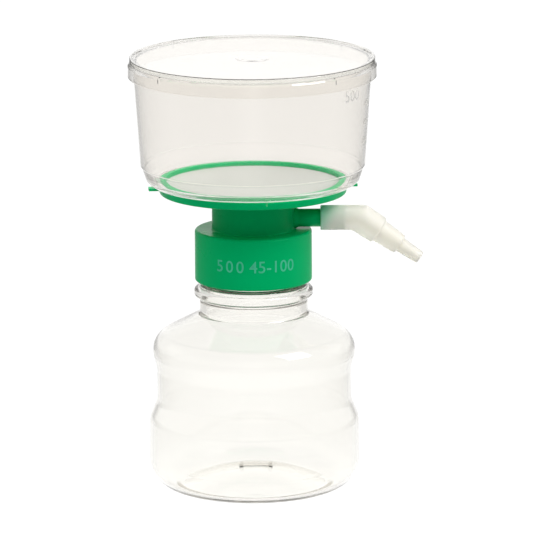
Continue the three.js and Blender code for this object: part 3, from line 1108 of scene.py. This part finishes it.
studio = {
    "floorSize": 60.0,
    "floorDrop": 0.0003,
    "floorColour": (0.12, 0.12, 0.118),
    "floorSeen": 0.94,  # as the camera and the clear pieces see it
    "floorAside": (0.8, 0.15),  # share left off to the sides, seen through walls and mirrored
    "floorStrip": (0.04, 0.24),  # half width of the bright strip behind, and where it has faded
    "floorAhead": (-0.35, -0.03),  # where the floor in front turns from dark to bright
    "floorDark": (0.9, 0.25),  # share left far in front, seen through walls and mirrored
    "floorLight": 0.42,  # as it lights the pieces from below
    "stripSpread": 0.13,  # how much wider the strip gets with each metre behind
    "skyLight": (0.3, 0.55),  # even light on the pieces, from low down and from above
    "skyLightEnds": (0.2, 0.55),
    "overhead": (1.15, 0.75),  # strength of the backdrop above the horizon and high up
    "overheadEnds": (0.35, 0.75),
    "backdrop": (1.0, 1.0, 1.0),  # what gloss and clear walls mirror and bend, behind and above
    "room": (0.5, 0.49, 0.47),  # and in front, where the camera stands
    "roomEnds": (-0.6, 0.6),  # from all backdrop to all room, along frontDirection
    "roomThrough": 0.25,  # share of the room's darkness seen through clear walls
    "mirrorStrip": (0.06, 0.4),  # sideways reach of the bright backdrop in what gloss mirrors
    "mirrorAside": 0.45,  # share of it left beyond
    "frontDirection": (-0.69, -0.69, 0.21),
    "acrossDirection": (0.7071, -0.7071, 0),
    "behindDirection": (0.7071, 0.7071, 0),
    "viewTarget": (0.0, 0.0, 0.105),
    "viewDistance": 3.4254,
    "viewTurn": -45.0,
    "viewRise": 12.318,
    "lens": 487.01,
    "shift": (0.02439, 0.0055),
    "roll": -0.369,
    "lights": [
        {"name": "rightPanel", "spot": (0.366, -1.366, 1.51), "power": 25, "mirrored": True},
        {"name": "leftPanel", "spot": (-1.41, 0.12, 1.51), "power": 11.8, "mirrored": False},
    ],
    "lightSize": 1.0,
}


def makeFloor():
    deselectAll()
    below = (0, 0, -studio["floorDrop"])
    bpy.ops.mesh.primitive_plane_add(size=studio["floorSize"], location=below)
    floor = bpy.context.object
    floor.name = "studioFloor"
    material = bpy.data.materials.new("paleFloor")
    material.use_nodes = True
    tree = material.node_tree
    shader = tree.nodes["Principled BSDF"]
    shader.inputs["Base Color"].default_value = opaque(studio["floorColour"])
    shader.inputs["Roughness"].default_value = 0.95
    shader.inputs["Specular IOR Level"].default_value = 0.0
    shader.inputs["Emission Color"].default_value = opaque((1, 1, 1))
    link = tree.links.new
    coords = nodeIn(tree, "ShaderNodeTexCoord", (-1400, 0))
    across = dotIn(tree, (-1200, 120), studio["acrossDirection"])
    behind = dotIn(tree, (-1200, -120), studio["behindDirection"])
    width = nodeIn(tree, "ShaderNodeMath", (-1000, 120), operation="ABSOLUTE")
    depth = nodeIn(tree, "ShaderNodeMath", (-1000, -120), {1: 0}, operation="MAXIMUM")
    spread = {1: -studio["stripSpread"]}
    reach = nodeIn(tree, "ShaderNodeMath", (-800, 0), spread, operation="MULTIPLY_ADD")
    seen = studio["floorSeen"]
    fade = rampIn(tree, (-600, 0), studio["floorStrip"], (seen, seen))
    aside = mixIn(tree, (-800, -300), *[seen * share for share in studio["floorAside"]])
    ahead = rampIn(tree, (-600, -300), studio["floorAhead"])
    dark = mixIn(tree, (-800, -500), *studio["floorDark"])
    mirrored = nodeIn(tree, "ShaderNodeMath", (-500, -100), operation="MULTIPLY")
    link(coords.outputs["Object"], across.inputs[0])
    link(coords.outputs["Object"], behind.inputs[0])
    link(across.outputs["Value"], width.inputs[0])
    link(behind.outputs["Value"], depth.inputs[0])
    link(depth.outputs["Value"], reach.inputs[0])
    link(width.outputs["Value"], reach.inputs[2])
    link(reach.outputs["Value"], fade.inputs["Value"])
    link(behind.outputs["Value"], ahead.inputs["Value"])
    link(fade.outputs["Result"], mirrored.inputs[0])
    link(ahead.outputs["Result"], mirrored.inputs[1])
    path = nodeIn(tree, "ShaderNodeLightPath", (-1000, 300))
    link(path.outputs["Is Reflection Ray"], aside.inputs["Factor"])
    link(aside.outputs["Result"], fade.inputs["To Max"])
    link(path.outputs["Is Reflection Ray"], dark.inputs["Factor"])
    link(dark.outputs["Result"], ahead.inputs["To Min"])
    direct = mixIn(tree, (-400, 0), second=seen)
    level = mixIn(tree, (-200, 0), second=studio["floorLight"])
    link(path.outputs["Is Camera Ray"], direct.inputs["Factor"])
    link(mirrored.outputs["Value"], direct.inputs["A"])
    link(path.outputs["Is Diffuse Ray"], level.inputs["Factor"])
    link(direct.outputs["Result"], level.inputs["A"])
    link(level.outputs["Result"], shader.inputs["Emission Strength"])
    floor.data.materials.append(material)


def makeSky():
    world = bpy.data.worlds.new("studioSky")
    bpy.context.scene.world = world
    world.use_nodes = True
    tree = world.node_tree
    link = tree.links.new
    background = tree.nodes["Background"]
    coords = nodeIn(tree, "ShaderNodeTexCoord", (-1200, 0))
    front = dotIn(tree, (-1000, 0), studio["frontDirection"])
    up = dotIn(tree, (-1000, -250), (0, 0, 1))

    def ramp(source, spot, ends, values):
        node = rampIn(tree, spot, ends, values)
        link(source.outputs["Value"], node.inputs["Value"])
        return node

    def blend(spot, factor, first, second):
        node = nodeIn(tree, "ShaderNodeMix", spot, data_type="RGBA")
        link(factor, node.inputs["Factor"])
        for value, socket in ((first, "A"), (second, "B")):
            if isinstance(value, tuple):
                node.inputs[socket].default_value = value
            else:
                link(value, node.inputs[socket])
        return node.outputs["Result"]

    link(coords.outputs["Generated"], front.inputs[0])
    link(coords.outputs["Generated"], up.inputs[0])
    toFront = ramp(front, (-800, 0), studio["roomEnds"], (0, 1))
    toZenith = ramp(up, (-800, -250), studio["overheadEnds"], studio["overhead"])
    even = ramp(up, (-800, -500), studio["skyLightEnds"], studio["skyLight"])
    across = dotIn(tree, (-1000, -500), studio["acrossDirection"])
    link(coords.outputs["Generated"], across.inputs[0])
    sideways = nodeIn(tree, "ShaderNodeMath", (-900, -500), operation="ABSOLUTE")
    link(across.outputs["Value"], sideways.inputs[0])
    narrow = ramp(sideways, (-800, -750), studio["mirrorStrip"], (1, studio["mirrorAside"]))
    path = nodeIn(tree, "ShaderNodeLightPath", (-800, 400))
    share = mixIn(tree, (-600, -600), first=1)
    link(path.outputs["Is Reflection Ray"], share.inputs["Factor"])
    link(narrow.outputs["Result"], share.inputs["B"])
    strength = nodeIn(tree, "ShaderNodeMath", (-500, -300), operation="MULTIPLY")
    link(toZenith.outputs["Result"], strength.inputs[0])
    link(share.outputs["Result"], strength.inputs[1])
    facing = mixIn(tree, (-750, 150), studio["roomThrough"], 1)
    link(path.outputs["Is Reflection Ray"], facing.inputs["Factor"])
    turned = nodeIn(tree, "ShaderNodeMath", (-650, 100), operation="MULTIPLY")
    link(toFront.outputs["Result"], turned.inputs[0])
    link(facing.outputs["Result"], turned.inputs[1])
    tones = (opaque(studio["backdrop"]), opaque(studio["room"]))
    seen = blend((-550, 0), turned.outputs["Value"], *tones)
    dimmed = nodeIn(tree, "ShaderNodeVectorMath", (-400, 0), operation="SCALE")
    link(seen, dimmed.inputs[0])
    link(strength.outputs["Value"], dimmed.inputs["Scale"])
    rays = path.outputs
    lit = blend((-250, 0), rays["Is Diffuse Ray"], dimmed.outputs[0], even.outputs["Result"])
    shown = blend((-100, 0), rays["Is Camera Ray"], lit, opaque((1, 1, 1)))
    link(shown, background.inputs["Color"])
    background.inputs["Strength"].default_value = 1.0


def makeLights():
    for light in studio["lights"]:
        deselectAll()
        bpy.ops.object.light_add(type="AREA", location=light["spot"])
        panel = bpy.context.object
        panel.name = light["name"]
        panel.data.size = studio["lightSize"]
        panel.data.energy = light["power"]
        aim = Vector(light["spot"]) - Vector(studio["viewTarget"])
        panel.rotation_euler = aim.to_track_quat("Z", "Y").to_euler()
        panel.visible_camera = False
        panel.visible_transmission = False
        panel.visible_glossy = light["mirrored"]


def makeCamera():
    camera = bpy.data.cameras.new("studioCamera")
    holder = bpy.data.objects.new("studioCamera", camera)
    bpy.context.scene.collection.objects.link(holder)
    turn = math.radians(studio["viewTurn"])
    rise = math.radians(studio["viewRise"])
    level = math.cos(rise)
    back = Vector((math.sin(turn) * level, -math.cos(turn) * level, math.sin(rise)))
    target = Vector(studio["viewTarget"])
    holder.location = target + back * studio["viewDistance"]
    aim = back.to_track_quat("Z", "Y").to_matrix().to_4x4()
    roll = Matrix.Rotation(math.radians(studio["roll"]), 4, "Z")
    holder.matrix_world = Matrix.Translation(holder.location) @ aim @ roll
    camera.lens = studio["lens"]
    camera.sensor_width = 36
    camera.shift_x, camera.shift_y = studio["shift"]
    camera.clip_end = 100
    bpy.context.scene.camera = holder


makeFloor()
makeSky()
makeLights()
makeCamera()
print("studio made")
scene = bpy.context.scene
scene.view_settings.view_transform = "Standard"
scene.cycles.max_bounces = 36
scene.cycles.transmission_bounces = 28
scene.cycles.transparent_max_bounces = 24
scene.cycles.glossy_bounces = 28
scene.cycles.diffuse_bounces = 4

deselectAll()
print("scene ready")
